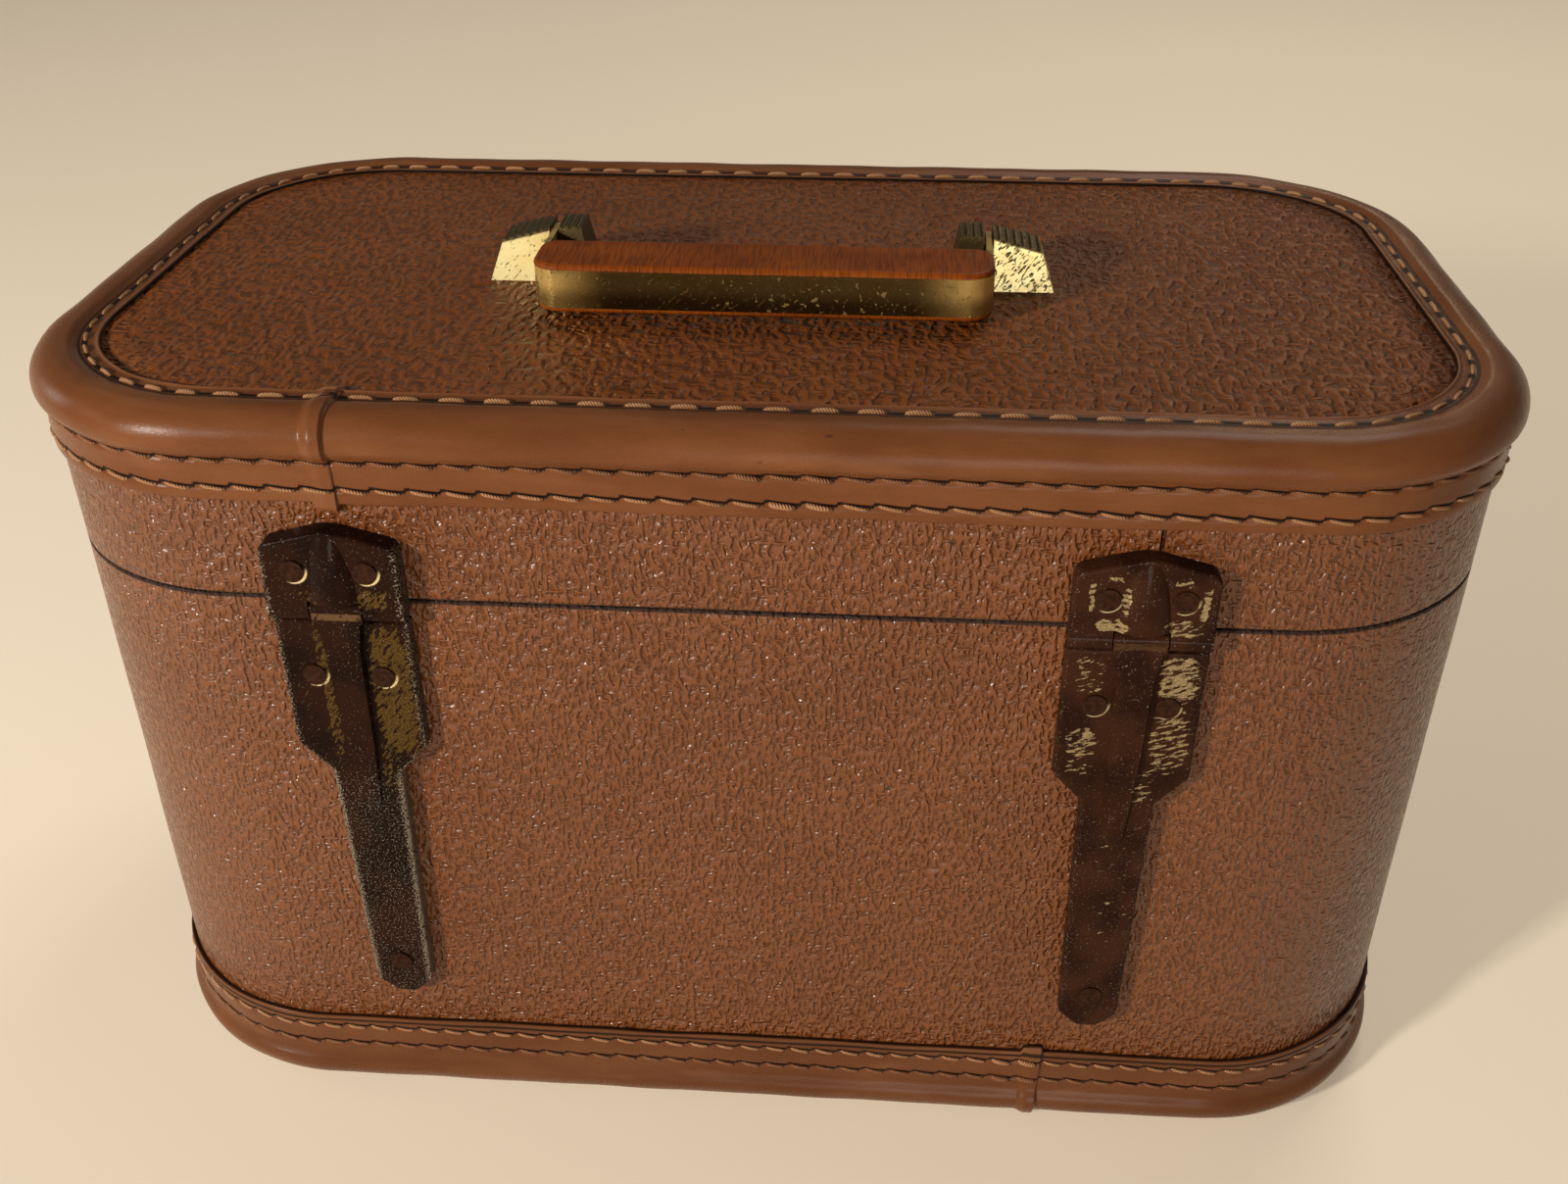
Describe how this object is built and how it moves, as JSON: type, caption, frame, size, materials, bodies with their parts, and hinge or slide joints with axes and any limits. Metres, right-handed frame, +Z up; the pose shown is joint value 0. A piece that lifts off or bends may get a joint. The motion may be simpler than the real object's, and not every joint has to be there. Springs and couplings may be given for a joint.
{
  "type": "makeup train case",
  "caption": "Rounded leatherette train case with a hinged lid on strap hinges, stitched bindings, a folding carrying handle and a front hasp latch, for carrying makeup.",
  "frame": {"origin": "centre of the plan on the plane that the case stands on", "axes": "+Z up, +X along the case's width, -Y towards the hinge wall, +Y towards the latch wall"},
  "size_m": [0.3364, 0.1929, 0.2097],
  "materials": {
    "leatherette": "embossed, semi-gloss",
    "binding": "smooth, satin",
    "grip_leather": "glossy",
    "board": "bare",
    "lining": "woven",
    "hinge_metal": "bronzed, worn",
    "rivet_metal": "bronzed",
    "brass": "polished, tarnished",
    "mirror": "silvered"
  },
  "bodies": {
    "base": {"base_wall": "board", "base_floor_board": "board", "base_covering": "leatherette", "base_floor_covering": "leatherette", "base_binding": "binding", "base_lining": "lining", "base_rim": "lining", "hinge_base_leaf_left": "hinge_metal", "hinge_base_leaf_right": "hinge_metal", "hinge_pin_left": "hinge_metal", "hinge_pin_right": "hinge_metal", "hinge_base_rivets": "rivet_metal", "latch_housing": "brass", "latch_housing_rivets": "brass"},
    "lid": {"lid_wall": "board", "lid_top_board": "board", "lid_covering": "leatherette", "lid_top_covering": "leatherette", "lid_binding": "binding", "lid_lining": "lining", "mirror_glass": "mirror", "mirror_frame": "binding", "hinge_lid_leaf_left": "hinge_metal", "hinge_lid_leaf_right": "hinge_metal", "hinge_lid_rivets": "rivet_metal", "handle_bracket_left": "brass", "handle_bracket_right": "brass", "handle_bracket_rivets": "rivet_metal", "handle_pivot_left": "rivet_metal", "handle_pivot_right": "rivet_metal", "latch_lid_plate": "brass", "latch_lid_rivets": "brass", "latch_hasp_pin": "brass"},
    "handle": {"handle_grip": "grip_leather", "handle_band": "brass"},
    "hasp": {"latch_hasp": "brass"},
    "slide_button": {"latch_button": "brass"}
  },
  "joints": [
    {"name": "lid_hinge", "type": "hinge", "parent": "base", "child": "lid", "pos_m": [0, -0.0918, 0.1523], "axis": [1, 0, 0], "range_deg": [0, 95]},
    {"name": "handle_swing", "type": "hinge", "parent": "lid", "child": "handle", "pos_m": [-0.0013, -0.0018, 0.204], "axis": [-1, 0, 0], "range_deg": [0, 180]},
    {"name": "hasp_swing", "type": "hinge", "parent": "lid", "child": "hasp", "pos_m": [0, 0.092, 0.159], "axis": [1, 0, 0], "range_deg": [0, 150]},
    {"name": "button_slide", "type": "slide", "parent": "base", "child": "slide_button", "axis": [1, 0, 0], "range_m": [0, 0.005], "stiffness_N_per_m": 150}
  ]
}
